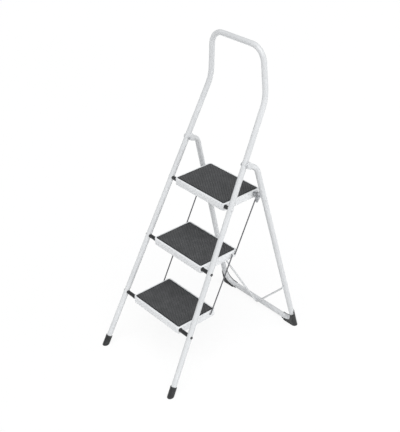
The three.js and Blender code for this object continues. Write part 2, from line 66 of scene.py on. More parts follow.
# ---- Driving dimensions: the ones that the frame's boxes can't tell ----
GAP = 0.3 * MM
TUBE_R = 11 * MM
FRONT_HALF = 219 * MM  # front leg axis from the middle, at the floor
FRONT_TAPER = 0.061  # X lost per unit of height
FRONT_Y = -342 * MM  # front leg axis at the floor, before the CAD centres its footprint
BEND_Z = 1069 * MM
BEND_R = 155 * MM
RAIL_TOP_Z = 1261 * MM
RAIL_SINK = 0.1 * MM  # keeps the smooth tube inside the box of the faceted one
RAIL_TOP_HALF = 139 * MM
RAIL_CORNER_R = 62 * MM

REAR_LEAN = 0.225
REAR_Y = 341 * MM
REAR_HALF = 219 * MM
REAR_TAPER = 0.055
REAR_BAR_Z = 17 * MM
REAR_CORNER_R = 52 * MM
NECK_FALL = math.radians(25)
NECK_R = 45 * MM
FORK_FROM = 26 * MM  # the rear tube is spread here into a fork, measured back from the hinge
NECK_OUT = 40 * MM  # and is fully round from here
FORK_DROP = 60 * MM  # the tube further below the hinge than this isn't spread
CHEEK_THICK = 1.8 * MM
CHEEK_AIR = 1.4 * MM

SHEET = 1.2 * MM
PAN_CORNER_R = 12 * MM
PAN_EDGE_R = 3 * MM
RIM = 6.5 * MM
RECESS = 1.5 * MM
MAT_CORNER_R = 6 * MM
MAT_BORDER = 3 * MM
LIP = 7 * MM  # width of the return lip under a pan
FOLD_R = 2 * MM  # fold between skirt and lip
DIAMOND_PITCH = 9 * MM  # raised diamonds of the mats
DIAMOND_HALF = 3.7 * MM
DIAMOND_SLOPE = 0.6 * MM
DIAMOND_RISE = 0.8 * MM

HEAD_R = 5.5 * MM
HEAD_H = 2.5 * MM
INNER_HEAD_H = 2 * MM
SMALL_HEAD_R = 5 * MM  # studs and hook rivets
SMALL_HEAD_H = 2 * MM
SEAT_REACH = 1.6  # a pressed seat fades out at this many head radii
SEAT_STEP = 1.3 * MM  # spacing of the tube's rings around a seat
AXLE_R = 4 * MM
SPACER_R = 8.5 * MM

WIRE_R = 2.5 * MM
WIRE_BEND_R = 4.4 * MM
HOLE_R = 3.1 * MM
CLIP_R = 5.5 * MM

CATCH_PIN_R = 3 * MM
HOOK_RIVET_Z = 667 * MM
HOOK_RIVET_R = 2.5 * MM
HOOK_RIVET_SEAT = 0.35 * MM  # its flat inner head, as thin as the gap to the tread allows
HOOK_TAIL_Z = 651 * MM  # rounded lower end
HOOK_TAIL_Y = 8 * MM  # from the stud
HOOK_TAIL_R = 6 * MM
HOOK_CREST = 2 * MM
HOOK_BACK = 8 * MM
HOOK_SLOT_R = 3.6 * MM
HOOK_LIP = 5 * MM
HOOK_LIP_RISE = 6 * MM
HOOK_FALL = math.radians(25)  # slope of the open end
HOOK_THICK = 3 * MM
HOOK_BOSS_R = 8 * MM

BRACE_R = 4 * MM
BRACE_BEND_R = 18 * MM
BRACE_JOIN_Z = 222 * MM
BRACE_APEX_DROP = -5 * MM

CAP_R = 13.4 * MM
CAP_LENGTH = 45 * MM
SOLE = 5 * MM
SHOE_R = 13 * MM
SHOE_DEPTH = 40 * MM  # beyond the shoe, below the floor and past its walls
SHOE_FAR = 0.1  # beyond the shoe, inwards
SHOE_FAR_UP = 0.12  # beyond the shoe, upwards
SHOE_INNER_X = 152 * MM
SHOE_FRONT_TOP = 65 * MM
SHOE_REAR_TOP = 79 * MM
SHOE_SOLE_HALF = 8 * MM

SIDES = {"left": -1, "right": 1}
X_AXIS = Vector((1, 0, 0))


# ---- Places, worked out from the frame ----
def centre(node):
    low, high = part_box(node)
    return (low + high) / 2


def span_x(low, high):
    """A box's least and greatest distance from the middle of the stool, along X."""
    return sorted((abs(low.x), abs(high.x)))


AXLES = {name: centre(f"{name}_axle") for name in ("bottom", "middle", "top")}
PIVOT = centre("pivot_rivet_left")
LEAN = (AXLES["top"].y - AXLES["bottom"].y) / (AXLES["top"].z - AXLES["bottom"].z)


def front_y(z):
    return AXLES["top"].y + LEAN * (z - AXLES["top"].z)


def front_x(z):
    return FRONT_HALF - FRONT_TAPER * z


FOOTPRINT_SHIFT = front_y(0) - FRONT_Y


def rear_y(z):
    return REAR_Y + FOOTPRINT_SHIFT - REAR_LEAN * z


def rear_x(z):
    return REAR_HALF - REAR_TAPER * z


PIVOT_X = front_x(PIVOT.z)
FORK_HALF = TUBE_R + CHEEK_AIR + CHEEK_THICK
REAR_TILT = math.atan(REAR_LEAN)


def in_rear_plane(x, up, out):
    """A point in the rear frame's plane: across, up along the legs, out towards the climber."""
    c, s = math.cos(REAR_TILT), math.sin(REAR_TILT)
    return Vector((x, rear_y(REAR_BAR_Z) - s * up - c * out, REAR_BAR_Z + c * up - s * out))


# ---- Small geometry tools ----
def mix(a, b, share):
    return a + (b - a) * share


def smoothstep(value, low, high):
    t = min(max((value - low) / (high - low), 0), 1)
    return t * t * (3 - 2 * t)


def arc(radius, start, end, steps):
    """Points (a, b) on an arc about the origin, angles in degrees, both ends included."""
    angles = [math.radians(mix(start, end, k / steps)) for k in range(steps + 1)]
    return [(radius * math.cos(a), radius * math.sin(a)) for a in angles]


def circle(radius, sides):
    return arc(radius, 0, 360, sides)[:-1]


def rounded_ring(x, y0, y1, radius, steps=6):
    """A rectangle from -x to x and y0 to y1 with round corners, as (x, y) points."""
    ring = []
    corners = [(x, y0, -90), (x, y1, 0), (-x, y1, 90), (-x, y0, 180)]
    for cx, cy, start in corners:
        ox = cx - math.copysign(radius, cx)
        oy = cy + radius if cy == y0 else cy - radius
        ring += [(ox + a, oy + b) for a, b in arc(radius, start, start + 90, steps)]
    return ring


def bent_path(corners, step=math.radians(4)):
    """Points on straight lines between corners (point, radius), bent round at the inner ones."""
    points = [corners[0][0]]
    for (before, _), (at, radius), (after, _) in zip(corners, corners[1:], corners[2:]):
        into = (at - before).normalized()
        out = (after - at).normalized()
        turn = into.angle(out)
        axis = into.cross(out).normalized()
        start = at - into * radius * math.tan(turn / 2)
        hub = start + axis.cross(into) * radius
        steps = max(3, math.ceil(turn / step))
        for k in range(steps + 1):
            points.append(hub + Matrix.Rotation(turn * k / steps, 3, axis) @ (start - hub))
    points.append(corners[-1][0])
    return points


def add_stations(path, places, reach, pitch):
    """The same path with close stations wherever it passes one of the places."""
    refined = [path[0]]
    for a, b in zip(path, path[1:]):
        along = (b - a).normalized()
        length = (b - a).length
        cuts = set()
        for place in places:
            middle = (place - a).dot(along)
            if (a + along * middle - place).length > reach:
                continue
            count = int(reach / pitch)
            cuts |= {middle + k * pitch for k in range(-count, count + 1)}
        refined += [a + along * c for c in sorted(cuts) if pitch / 2 < c < length - pitch / 2]
        refined.append(b)
    return refined


class Shell:
    """The vertices and faces of one piece, laid down ring by ring."""

    def __init__(self):
        self.verts = []
        self.faces = []

    def ring(self, points):
        first = len(self.verts)
        self.verts += [Vector(p) for p in points]
        return list(range(first, len(self.verts)))

    def band(self, a, b):
        for i in range(len(a)):
            j = (i + 1) % len(a)
            self.faces.append((a[i], a[j], b[j], b[i]))

    def loft(self, sections, capped=True):
        rings = [self.ring(points) for points in sections]
        for a, b in zip(rings, rings[1:]):
            self.band(a, b)
        if capped:
            self.faces += [tuple(reversed(rings[0])), tuple(rings[-1])]
        else:
            self.band(rings[-1], rings[0])
        return self

    def sweep(self, path, section, first_side=X_AXIS, reshape=None):
        """Carries a section of (a, b) offsets along a path, with no twist."""
        tangents = []
        for k in range(len(path)):
            before, after = path[max(k - 1, 0)], path[min(k + 1, len(path) - 1)]
            into = (path[k] - before).normalized()
            out = (after - path[k]).normalized()
            tangents.append((into + out).normalized())
        side = (first_side - tangents[0] * first_side.dot(tangents[0])).normalized()
        sections = []
        for k, (place, tangent) in enumerate(zip(path, tangents)):
            if k:
                side = tangents[k - 1].rotation_difference(tangent) @ side
            other = tangent.cross(side)
            ring = [place + side * a + other * b for a, b in section]
            sections.append([reshape(place, p) for p in ring] if reshape else ring)
        return self.loft(sections)

    def lathe(self, origin, axis, profile, sides=32):
        """Turns a profile of (radius, height) about an axis, from tip to tip."""
        axis = Vector(axis).normalized()
        u = axis.orthogonal().normalized()
        w = axis.cross(u)
        sections = []
        for radius, height in profile:
            ring = circle(max(radius, 0.02 * MM), sides)
            sections.append([origin + u * a + w * b + axis * height for a, b in ring])
        return self.loft(sections)


def to_object(name, shell):
    mesh = bpy.data.meshes.new(name)
    mesh.from_pydata(shell.verts, [], shell.faces)
    obj = bpy.data.objects.new(name, mesh)
    bpy.context.scene.collection.objects.link(obj)
    tidy_mesh(obj)
    return obj


def tidy_mesh(obj):
    bm = bmesh.new()
    bm.from_mesh(obj.data)
    bmesh.ops.remove_doubles(bm, verts=bm.verts, dist=0.002 * MM)
    bmesh.ops.recalc_face_normals(bm, faces=bm.faces)
    bm.to_mesh(obj.data)
    bm.free()


def boolean(obj, cutter, how="DIFFERENCE"):
    """Cuts or joins a second object, which is used up."""
    modifier = obj.modifiers.new("boolean", "BOOLEAN")
    modifier.operation = how
    modifier.solver = "EXACT"
    modifier.object = cutter
    graph = bpy.context.evaluated_depsgraph_get()
    result = bpy.data.meshes.new_from_object(obj.evaluated_get(graph))
    obj.modifiers.clear()
    obj.data = result
    bpy.data.objects.remove(cutter)


def drill(obj, a, b, radius, sides=24):
    boolean(obj, to_object("drill", Shell().sweep([a, b], circle(radius, sides))))


def outline_plate(points, place, x0, x1, bevel):
    """A plate from x0 to x1 with softened edges, laid out by place(a, b, x)."""
    shell = Shell().loft([[place(a, b, x) for a, b in points] for x in (x0, x1)])
    obj = to_object("plate", shell)
    soften(obj, bevel)
    return obj


def soften(obj, width, angle=40, segments=3):
    bm = bmesh.new()
    bm.from_mesh(obj.data)
    limit = math.radians(angle)
    sharp = [e for e in bm.edges if len(e.link_faces) == 2 and e.calc_face_angle() > limit]
    bmesh.ops.bevel(bm, geom=sharp, offset=width, segments=segments, profile=0.5, affect="EDGES")
    bm.to_mesh(obj.data)
    bm.free()


def fillet(corners, steps=5):
    """A closed outline of (a, b, radius) corners as (a, b) points with round corners."""
    points = []
    count = len(corners)
    for i, (a, b, radius) in enumerate(corners):
        at = Vector((a, b, 0))
        into = (at - Vector((*corners[i - 1][:2], 0))).normalized()
        out = (Vector((*corners[(i + 1) % count][:2], 0)) - at).normalized()
        turn = into.angle(out)
        if radius == 0 or turn < math.radians(3):
            points.append((a, b))
            continue
        axis = into.cross(out).normalized()
        start = at - into * radius * math.tan(turn / 2)
        hub = start + axis.cross(into) * radius
        for k in range(steps + 1):
            p = hub + Matrix.Rotation(turn * k / steps, 3, axis) @ (start - hub)
            points.append((p.x, p.y))
    return points


def finish_piece(obj, name, node, look, slot, angle=30):
    """Names a piece, gives it its material, and lets it stand for its CAD node."""
    obj.name = name
    obj.data.name = name
    obj.data.materials.clear()
    obj.data.materials.append(look)
    obj.data.shade_smooth()
    obj.data.set_sharp_from_angle(angle=math.radians(angle))
    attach(obj, frame["nodes"][node]["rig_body"])
    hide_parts(node)
    return obj


# ---- Materials ----
FLOOR_LIFT = 0.88  # share of the floor's own light in what the camera sees of it


class Look:
    """A Principled material, with short ways to feed it from procedural nodes."""

    def __init__(self, name):
        self.material = bpy.data.materials.new(name)
        self.material.use_nodes = True
        self.tree = self.material.node_tree
        self.shader = self.tree.nodes["Principled BSDF"]
        self.place = self.node("ShaderNodeTexCoord").outputs["Object"]

    def node(self, kind, **inputs):
        made = self.tree.nodes.new(kind)
        for name, value in inputs.items():
            made.inputs[name].default_value = value
        return made

    def link(self, source, target):
        self.tree.links.new(source, target)

    def noise(self, scale, detail=2.0, roughness=0.5, place=None):
        made = self.node("ShaderNodeTexNoise", Scale=scale, Detail=detail, Roughness=roughness)
        self.link(place or self.place, made.inputs["Vector"])
        return made.outputs["Fac"]

    def stretched(self, x, y, z):
        made = self.node("ShaderNodeMapping", Scale=(x, y, z))
        self.link(self.place, made.inputs["Vector"])
        return made.outputs["Vector"]

    def ramp(self, fac, *stops):
        """Stops are (position, value), where a value is a grey or a colour."""
        made = self.node("ShaderNodeValToRGB")
        elements = made.color_ramp.elements
        while len(elements) < len(stops):
            elements.new(0.5)
        for element, (position, value) in zip(elements, stops):
            element.position = position
            grey = not hasattr(value, "__len__")
            element.color = (value, value, value, 1) if grey else (*value, 1)
        self.link(fac, made.inputs["Fac"])
        return made.outputs["Color"]

    def combine(self, a, b, share, how="MIX"):
        made = self.tree.nodes.new("ShaderNodeMix")
        made.data_type = "RGBA"
        made.blend_type = how
        made.inputs["Factor"].default_value = share
        self.link(a, made.inputs["A"])
        self.link(b, made.inputs["B"])
        return made.outputs["Result"]

    def fixed(self, **values):
        for name, value in values.items():
            self.shader.inputs[name.replace("_", " ")].default_value = value

    def bump(self, *layers):
        """Layers are (height, strength, distance), the coarsest first."""
        normal = None
        for height, strength, distance in layers:
            made = self.node("ShaderNodeBump", Strength=strength, Distance=distance)
            self.link(height, made.inputs["Height"])
            if normal:
                self.link(normal, made.inputs["Normal"])
            normal = made.outputs["Normal"]
        self.link(normal, self.shader.inputs["Normal"])


def powder_coat():
    """Baked white powder: a faint orange peel, with slight unevenness in tone and gloss."""
    look = Look("white_powder_coat")
    tone = look.ramp(look.noise(7, 3), (0.35, (0.64, 0.65, 0.66)), (0.65, (0.69, 0.70, 0.71)))
    specks = look.ramp(look.noise(900, 2), (0.30, 0.86), (0.42, 1.0))
    look.link(look.combine(tone, specks, 0.5, "MULTIPLY"), look.shader.inputs["Base Color"])
    gloss = look.ramp(look.noise(60, 4), (0.3, 0.30), (0.7, 0.40))
    look.link(gloss, look.shader.inputs["Roughness"])
    look.bump((look.noise(45, 1), 0.06, 0.6 * MM), (look.noise(520, 2), 0.22, 0.12 * MM))
    look.fixed(Coat_Weight=0.25, Coat_Roughness=0.18)
    return look.material


def enamel():
    """Sprayed paint on pressed sheet: smoother and a little cooler than the tube's coat."""
    look = Look("white_enamel")
    tone = look.ramp(look.noise(5, 3), (0.35, (0.745, 0.755, 0.77)), (0.65, (0.79, 0.80, 0.81)))
    specks = look.ramp(look.noise(700, 2), (0.30, 0.90), (0.42, 1.0))
    look.link(look.combine(tone, specks, 0.4, "MULTIPLY"), look.shader.inputs["Base Color"])
    gloss = look.ramp(look.noise(40, 4), (0.3, 0.28), (0.7, 0.37))
    look.link(gloss, look.shader.inputs["Roughness"])
    look.bump((look.noise(22, 1), 0.10, 0.8 * MM), (look.noise(330, 2), 0.14, 0.12 * MM))
    look.fixed(Coat_Weight=0.3, Coat_Roughness=0.15)
    return look.material


def mat_rubber():
    """Dark grey rubber, fine-grained all over, paler on top of the diamonds: partly scuffing, partly
    painted sheen.
    """
    look = Look("rubber_mat")
    low = look.ramp(look.noise(18, 4), (0.3, (0.018, 0.019, 0.020)), (0.7, (0.028, 0.029, 0.031)))
    high = look.ramp(look.noise(30, 5), (0.3, (0.074, 0.075, 0.077)), (0.7, (0.106, 0.107, 0.110)))
    height = look.node("ShaderNodeTexCoord")
    split = look.node("ShaderNodeSeparateXYZ")
    look.link(height.outputs["Generated"], split.inputs["Vector"])
    # Paler towards the top of the mat's height: scuffing together with a painted sheen on the diamond
    # tops.
    scuff_and_sheen = look.tree.nodes.new("ShaderNodeMix")
    scuff_and_sheen.data_type = "RGBA"
    look.link(look.ramp(split.outputs["Z"], (0.72, 0.0), (0.97, 1.0)), scuff_and_sheen.inputs["Factor"])
    look.link(low, scuff_and_sheen.inputs["A"])
    look.link(high, scuff_and_sheen.inputs["B"])
    look.link(scuff_and_sheen.outputs["Result"], look.shader.inputs["Base Color"])
    look.link(look.ramp(look.noise(90, 4), (0.3, 0.55), (0.7, 0.78)), look.shader.inputs["Roughness"])
    look.bump((look.noise(260, 3), 0.25, 0.15 * MM), (look.noise(1500, 2), 0.35, 0.06 * MM))
    look.fixed(Specular_IOR_Level=0.45)
    return look.material


def black_plastic():
    """Injection-moulded polyethylene with a spark-eroded grain and a few paler rubs."""
    look = Look("black_plastic")
    tone = look.ramp(look.noise(25, 4), (0.35, (0.014, 0.014, 0.015)), (0.7, (0.026, 0.027, 0.028)))
    rubs = look.ramp(look.noise(130, 6, 0.7), (0.60, 0.0), (0.72, 1.0))
    rubbed = look.combine(tone, rubs, 0.03, "SCREEN")
    look.link(rubbed, look.shader.inputs["Base Color"])
    look.link(look.ramp(look.noise(70, 4), (0.3, 0.36), (0.7, 0.52)), look.shader.inputs["Roughness"])
    look.bump((look.noise(1100, 3, 0.6), 0.4, 0.08 * MM))
    look.fixed(Specular_IOR_Level=0.5)
    return look.material


def zinc_steel():
    """Zinc-plated steel: grey with cloudy patches and fine turning marks."""
    look = Look("zinc_steel")
    tone = look.ramp(look.noise(160, 4), (0.3, (0.40, 0.41, 0.43)), (0.7, (0.62, 0.63, 0.64)))
    look.link(tone, look.shader.inputs["Base Color"])
    look.link(look.ramp(look.noise(240, 4), (0.3, 0.28), (0.7, 0.45)), look.shader.inputs["Roughness"])
    grain = look.noise(1, 3, 0.6, look.stretched(300, 2600, 2600))
    look.bump((grain, 0.2, 0.05 * MM))
    look.fixed(Metallic=0.95)
    return look.material


def drawn_steel(name, dark, light):
    """Drawn steel under a phosphate: dull, streaked along its length."""
    look = Look(name)
    streaks = look.noise(1, 4, 0.6, look.stretched(1800, 1800, 60))
    tone = look.ramp(streaks, (0.3, (dark, dark, dark * 1.06)), (0.7, (light, light, light * 1.06)))
    look.link(tone, look.shader.inputs["Base Color"])
    look.link(look.ramp(look.noise(120, 3), (0.3, 0.35), (0.7, 0.5)), look.shader.inputs["Roughness"])
    look.bump((streaks, 0.25, 0.05 * MM), (look.noise(1400, 2), 0.2, 0.04 * MM))
    look.fixed(Metallic=0.6)
    return look.material


def studio_floor():
    """A white floor. The camera sees mostly its own light, so it runs out into white."""
    look = Look("studio_floor")
    tone = look.ramp(look.noise(0.8, 2), (0.3, (0.90, 0.90, 0.90)), (0.7, (0.92, 0.92, 0.92)))
    seen = look.node("ShaderNodeLightPath").outputs["Is Camera Ray"]
    lift, fade = look.node("ShaderNodeMapRange"), look.node("ShaderNodeMapRange")
    lift.inputs["To Max"].default_value = FLOOR_LIFT
    fade.inputs["To Min"].default_value = 1
    fade.inputs["To Max"].default_value = 1 - FLOOR_LIFT
    for share in (lift, fade):
        look.link(seen, share.inputs["Value"])
    faded = look.combine(tone, fade.outputs["Result"], 1.0, "MULTIPLY")
    look.link(faded, look.shader.inputs["Base Color"])
    look.link(lift.outputs["Result"], look.shader.inputs["Emission Strength"])
    look.shader.inputs["Emission Color"].default_value = (1, 1, 1, 1)
    look.bump((look.noise(300, 2), 0.05, 0.2 * MM))
    look.fixed(Roughness=0.9, Specular_IOR_Level=0.1)
    return look.material


COAT = powder_coat()
ENAMEL = enamel()
RUBBER = mat_rubber()
PLASTIC = black_plastic()
ZINC = zinc_steel()
WIRE = drawn_steel("drawn_wire", 0.12, 0.19)
DARK = drawn_steel("dark_steel", 0.05, 0.09)


# ---- Camera ----
CAMERA_AT = Vector((2.375305, -1.915143 + FOOTPRINT_SHIFT, 2.421629))
CAMERA_YAW = 0.888087  # from +Y towards -X, in radians
CAMERA_FALL = 0.541381  # below the horizon
CAMERA_ROLL = -0.0349066
CAMERA_LENS = 75.45


def add_camera():
    fall, yaw = CAMERA_FALL, CAMERA_YAW
    level = Vector((math.cos(yaw), math.sin(yaw), 0))
    ahead = Vector((-math.cos(fall) * math.sin(yaw), math.cos(fall) * math.cos(yaw), -math.sin(fall)))
    upright = level.cross(ahead)
    right = level * math.cos(CAMERA_ROLL) + upright * math.sin(CAMERA_ROLL)
    up = upright * math.cos(CAMERA_ROLL) - level * math.sin(CAMERA_ROLL)
    data = bpy.data.cameras.new("camera")
    data.sensor_fit = "AUTO"
    data.sensor_width = 36
    data.lens = CAMERA_LENS
    camera = bpy.data.objects.new("camera", data)
    turn = Matrix((right, up, -ahead)).transposed().to_4x4()
    camera.matrix_world = Matrix.Translation(CAMERA_AT) @ turn
    bpy.context.scene.collection.objects.link(camera)
    bpy.context.scene.camera = camera


add_camera()


# ---- Front frame ----
def press_seats(shell, places, flat, radius):
    """Presses a flat round seat into a tube where a rivet head draws down on it."""
    for point in shell.verts:
        for place in places:
            distance = math.hypot(point.y - place.y, point.z - place.z)
            limit = flat(place.z)
            if distance < SEAT_REACH * radius and abs(point.x) > limit:
                share = 1 - smoothstep(distance, radius, SEAT_REACH * radius)
                point.x = math.copysign(mix(abs(point.x), limit, share), point.x)


def front_frame():
    foot = SOLE + 3 * MM
    right = [
        (Vector((front_x(foot), front_y(foot), foot)), 0),
        (Vector((front_x(BEND_Z), front_y(BEND_Z), BEND_Z)), BEND_R),
        (Vector((RAIL_TOP_HALF, front_y(BEND_Z), RAIL_TOP_Z - RAIL_SINK)), RAIL_CORNER_R),
    ]
    left = [(Vector((-p.x, p.y, p.z)), radius) for p, radius in reversed(right)]
    places = [Vector((s * front_x(p.z), p.y, p.z)) for p in AXLES.values() for s in (-1, 1)]
    path = add_stations(bent_path(right + left), places, 13 * MM, SEAT_STEP)
    shell = Shell().sweep(path, circle(TUBE_R, 48))
    press_seats(shell, AXLES.values(), lambda z: front_x(z) + TUBE_R - 0.5 * MM, HEAD_R)
    finish_piece(to_object("tube", shell), "front_tube", "front_frame", COAT, "white_powder_coat")


def front_foot(word, side):
    """A rubber cap: a lipped mouth, three ribs, and a heel rounded into the floor."""
    floor = Vector((side * front_x(0), front_y(0), 0))
    along = Vector((-side * FRONT_TAPER, LEAN, 1)).normalized()
    u = along.orthogonal().normalized()
    w = along.cross(u)

    def ring(radius, height, level):
        """A ring round the leg that tilts from level at the floor to square at the mouth."""
        points = []
        for a, b in circle(radius, 48):
            spoke = u * a + w * b
            square = spoke + along * height
            drop = -spoke.z / along.z
            flat = spoke + along * (drop + height / along.z)
            points.append(floor + square.lerp(flat, level))
        return points

    heel = [(2.2, 0.0), (1.0, 0.35), (0.3, 1.1), (0.0, 2.4)]
    sections = [ring(CAP_R - inset * MM, rise * MM, 1) for inset, rise in heel]
    ribs = 3
    for k in range(ribs):
        base = (19 + 6 * k) * MM
        for rise, inset in [(0, 0), (0.5, 0.45), (2.0, 0.45), (2.5, 0)]:
            height = base + rise * MM
            level = 1 - smoothstep(height, 4 * MM, 30 * MM)
            sections.append(ring(CAP_R - inset * MM, height, level))
    mouth = [(0.0, 0.9), (0.25, 0.3), (0.8, 0.0), (1.5, 0.0), (2.0, 0.4), (2.1, 6.0)]
    for inset, fall in mouth:
        sections.append(ring(CAP_R - inset * MM, CAP_LENGTH - fall * MM, 0))
    cap = to_object("cap", Shell().loft(sections))
    finish_piece(cap, f"front_cap_{word}", f"front_foot_{word}", PLASTIC, "black_plastic")


# ---- Rear frame ----
def neck_place(reach, across=0.0, x=0.0):
    """A point at a distance behind the hinge along the falling neck, and across it."""
    c, s = math.cos(NECK_FALL), math.sin(NECK_FALL)
    return Vector((x, PIVOT.y + reach * c + across * s, PIVOT.z - reach * s + across * c))


def reach_of(point):
    return (point.y - PIVOT.y) * math.cos(NECK_FALL) - (point.z - PIVOT.z) * math.sin(NECK_FALL)


def spread_end(station, point):
    """Spreads the tube sideways towards the fork."""
    if station.z < PIVOT.z - FORK_DROP:
        return point
    share = 1 - smoothstep(reach_of(station), FORK_FROM, NECK_OUT)
    wide = (point.x - station.x) * mix(1, FORK_HALF / TUBE_R, share)
    return Vector((station.x + wide, point.y, point.z))


def rear_path():
    slope = math.tan(NECK_FALL)
    knee = (PIVOT.z + slope * (PIVOT.y - rear_y(0))) / (1 - slope * REAR_LEAN)
    leg = bent_path([
        (neck_place(FORK_FROM, 0, PIVOT_X), 0),
        (Vector((rear_x(knee), rear_y(knee), knee)), NECK_R),
        (Vector((rear_x(REAR_BAR_Z), rear_y(REAR_BAR_Z), REAR_BAR_Z)), REAR_CORNER_R),
        (Vector((0, rear_y(REAR_BAR_Z), REAR_BAR_Z)), 0),
    ])
    neck = [leg[0].lerp(leg[1], k / 10) for k in range(10)]
    half = neck + leg[1:-1]
    return half + [Vector((-p.x, p.y, p.z)) for p in reversed(half)]


# Outline of a cheek of the fork: (behind the hinge, across the neck, corner radius).
CHEEK = [(0, -7.3, 5), (5, -9, 8), (18, -10.4, 20), (29.5, -10.5, 2), (29.5, 10.5, 2), (9, 20.2, 2.5),
         (5, 20.2, 2.5), (-1, 11, 6), (-7.2, 4, 5), (-7.2, -4.5, 4)]


def add_cheek(tube, side, x0):
    outline = fillet([(a * MM, b * MM, radius * MM) for a, b, radius in CHEEK])

    def place(reach, across, x):
        return neck_place(reach, across, side * x)

    boolean(tube, outline_plate(outline, place, x0, x0 + CHEEK_THICK, 0.5 * MM), "UNION")


def rear_frame():
    seat = Vector((0, rear_y(HOOK_RIVET_Z), HOOK_RIVET_Z))
    places = [Vector((s * rear_x(HOOK_RIVET_Z), seat.y, seat.z)) for s in (-1, 1)]
    path = add_stations(rear_path(), places, 10 * MM, SEAT_STEP)
    shell = Shell().sweep(path, circle(TUBE_R, 48), reshape=spread_end)
    press_seats(shell, [seat], lambda z: rear_x(z) + TUBE_R - 0.4 * MM, SMALL_HEAD_R)
    tube = to_object("tube", shell)
    for side in (-1, 1):
        add_cheek(tube, side, PIVOT_X - FORK_HALF)
        add_cheek(tube, side, PIVOT_X + FORK_HALF - CHEEK_THICK)
    finish_piece(tube, "rear_tube", "rear_frame", COAT, "white_powder_coat", 40)


def weld_bead(shell, middle):
    """A short bead of overlapping ripples, in line with the wire's plane."""
    outward = in_rear_plane(0, 0, 1) - in_rear_plane(0, 0, 0)
    for ripple in range(-3, 4):
        size = (2.9 - 0.16 * abs(ripple)) * MM
        bead = [(size * a, -size * 0.8 * b) for b, a in arc(1, 0, 180, 8)]
        place = middle + X_AXIS * ripple * 1.6 * MM - outward * 2.2 * MM
        shell.lathe(place, outward, bead, 14)


def rear_brace():
    """The bent wire between the rear legs, with a weld bead where it meets a tube."""
    out = TUBE_R + BRACE_R - 0.3 * MM  # sunk a little into the tubes
    up = (BRACE_JOIN_Z - REAR_BAR_Z) / math.cos(REAR_TILT)
    end = rear_x(BRACE_JOIN_Z) + 3 * MM
    path = bent_path([
        (in_rear_plane(-end, up, out), 0),
        (in_rear_plane(0, BRACE_APEX_DROP, out), BRACE_BEND_R),
        (in_rear_plane(end, up, out), 0),
    ])
    shell = Shell().sweep(path, circle(BRACE_R, 20))
    weld_bead(shell, path[len(path) // 2])
    for side in (-1, 1):
        weld_bead(shell, in_rear_plane(side * (end - 3 * MM), up - 2 * MM, out))
    finish_piece(to_object("brace", shell), "rear_wire_brace", "rear_brace", COAT, "white_powder_coat")


def bend_arc(leg_radius, bar_radius):
    """Points inwards from the leg's axis and up from the bar's, on an arc round the bend's hub."""
    points = []
    for a, b in arc(1, 0, 90, 12):
        radius = mix(leg_radius, bar_radius, b * b)
        points.append((REAR_CORNER_R - radius * a, REAR_CORNER_R - radius * b))
    return points


def shoe_front_opening():
    """The front wall ends in a saddle under the leg, and leaves the inner half of the bend bare."""
    top = SHOE_FRONT_TOP - REAR_BAR_Z
    lip = top + 2 * MM
    saddle = [(-SHOE_DEPTH, lip), (-9 * MM, lip), (-5 * MM, top), (2 * MM, top)]
    bend = bend_arc(49 * MM, 59 * MM)
    return [(-SHOE_DEPTH, SHOE_FAR_UP), *saddle, *bend, (SHOE_FAR, -11 * MM), (SHOE_FAR, SHOE_FAR_UP)]


def shoe_rear_opening():
    """The rear wall wraps the tube further than the front one."""
    bend = bend_arc(42 * MM, 42 * MM)
    return [(10 * MM, SHOE_FAR_UP), *bend, (SHOE_FAR, 10 * MM), (SHOE_FAR, SHOE_FAR_UP)]


def shoe_fill():
    """The corner outside the bend, down to the floor."""
    bend = bend_arc(REAR_CORNER_R, REAR_CORNER_R)
    return [(0, -SHOE_DEPTH), *bend, (REAR_CORNER_R, -SHOE_DEPTH)]


def rear_shoe(word, side):
    """A plastic shoe round a bottom corner of the rear frame, open inside the bend."""
    bar = rear_x(REAR_BAR_Z)

    def spot(inward, up, out=0):
        return in_rear_plane(side * (bar - inward), up, out)

    def plate(outline, out0, out1):
        sections = [[spot(a, b, o) for a, b in outline] for o in (out0, out1)]
        return to_object("plate", Shell().loft(sections))

    def rod(a, b, radius):
        return to_object("rod", Shell().sweep([a, b], circle(radius, 48)))

    def sleeve(top, end, radius):
        path = bent_path([(top, 0), (spot(0, 0), REAR_CORNER_R), (end, 0)])
        return to_object("sleeve", Shell().sweep(path, circle(radius, 48)))

    run = bar - SHOE_INNER_X
    top = spot(3 * MM, SHOE_REAR_TOP - REAR_BAR_Z)
    leg = (spot(0, 0) - top).normalized()
    shoe = sleeve(top, spot(run, 0), SHOE_R)
    sole = [(0, -SHOE_DEPTH), (0, 0), (run, -9 * MM), (run, -SHOE_DEPTH)]
    boolean(shoe, rod(spot(0, 0) + leg * 2 * REAR_BAR_Z, top, SHOE_R), "UNION")
    boolean(shoe, rod(spot(0, 0), spot(run, 0), SHOE_R), "UNION")
    boolean(shoe, plate(shoe_fill(), -SHOE_R, SHOE_R), "UNION")
    boolean(shoe, plate(sole, -SHOE_SOLE_HALF, SHOE_SOLE_HALF), "UNION")
    boolean(shoe, plate(shoe_front_opening(), 0, SHOE_DEPTH))
    boolean(shoe, plate(shoe_rear_opening(), -SHOE_DEPTH, 0.01 * MM))
    boolean(shoe, sleeve(top - leg * 40 * MM, spot(2 * run, 0), TUBE_R + 2 * GAP))
    cut_at_floor(shoe)
    finish_piece(shoe, f"rear_corner_shoe_{word}", f"rear_shoe_{word}", PLASTIC, "black_plastic")


def cut_at_floor(obj):
    bm = bmesh.new()
    bm.from_mesh(obj.data)
    everything = [*bm.verts, *bm.edges, *bm.faces]
    bmesh.ops.bisect_plane(bm, geom=everything, plane_co=(0, 0, 0), plane_no=(0, 0, -1), clear_outer=True)
    bmesh.ops.holes_fill(bm, edges=[e for e in bm.edges if e.is_boundary], sides=0)
    bm.to_mesh(obj.data)
    bm.free()


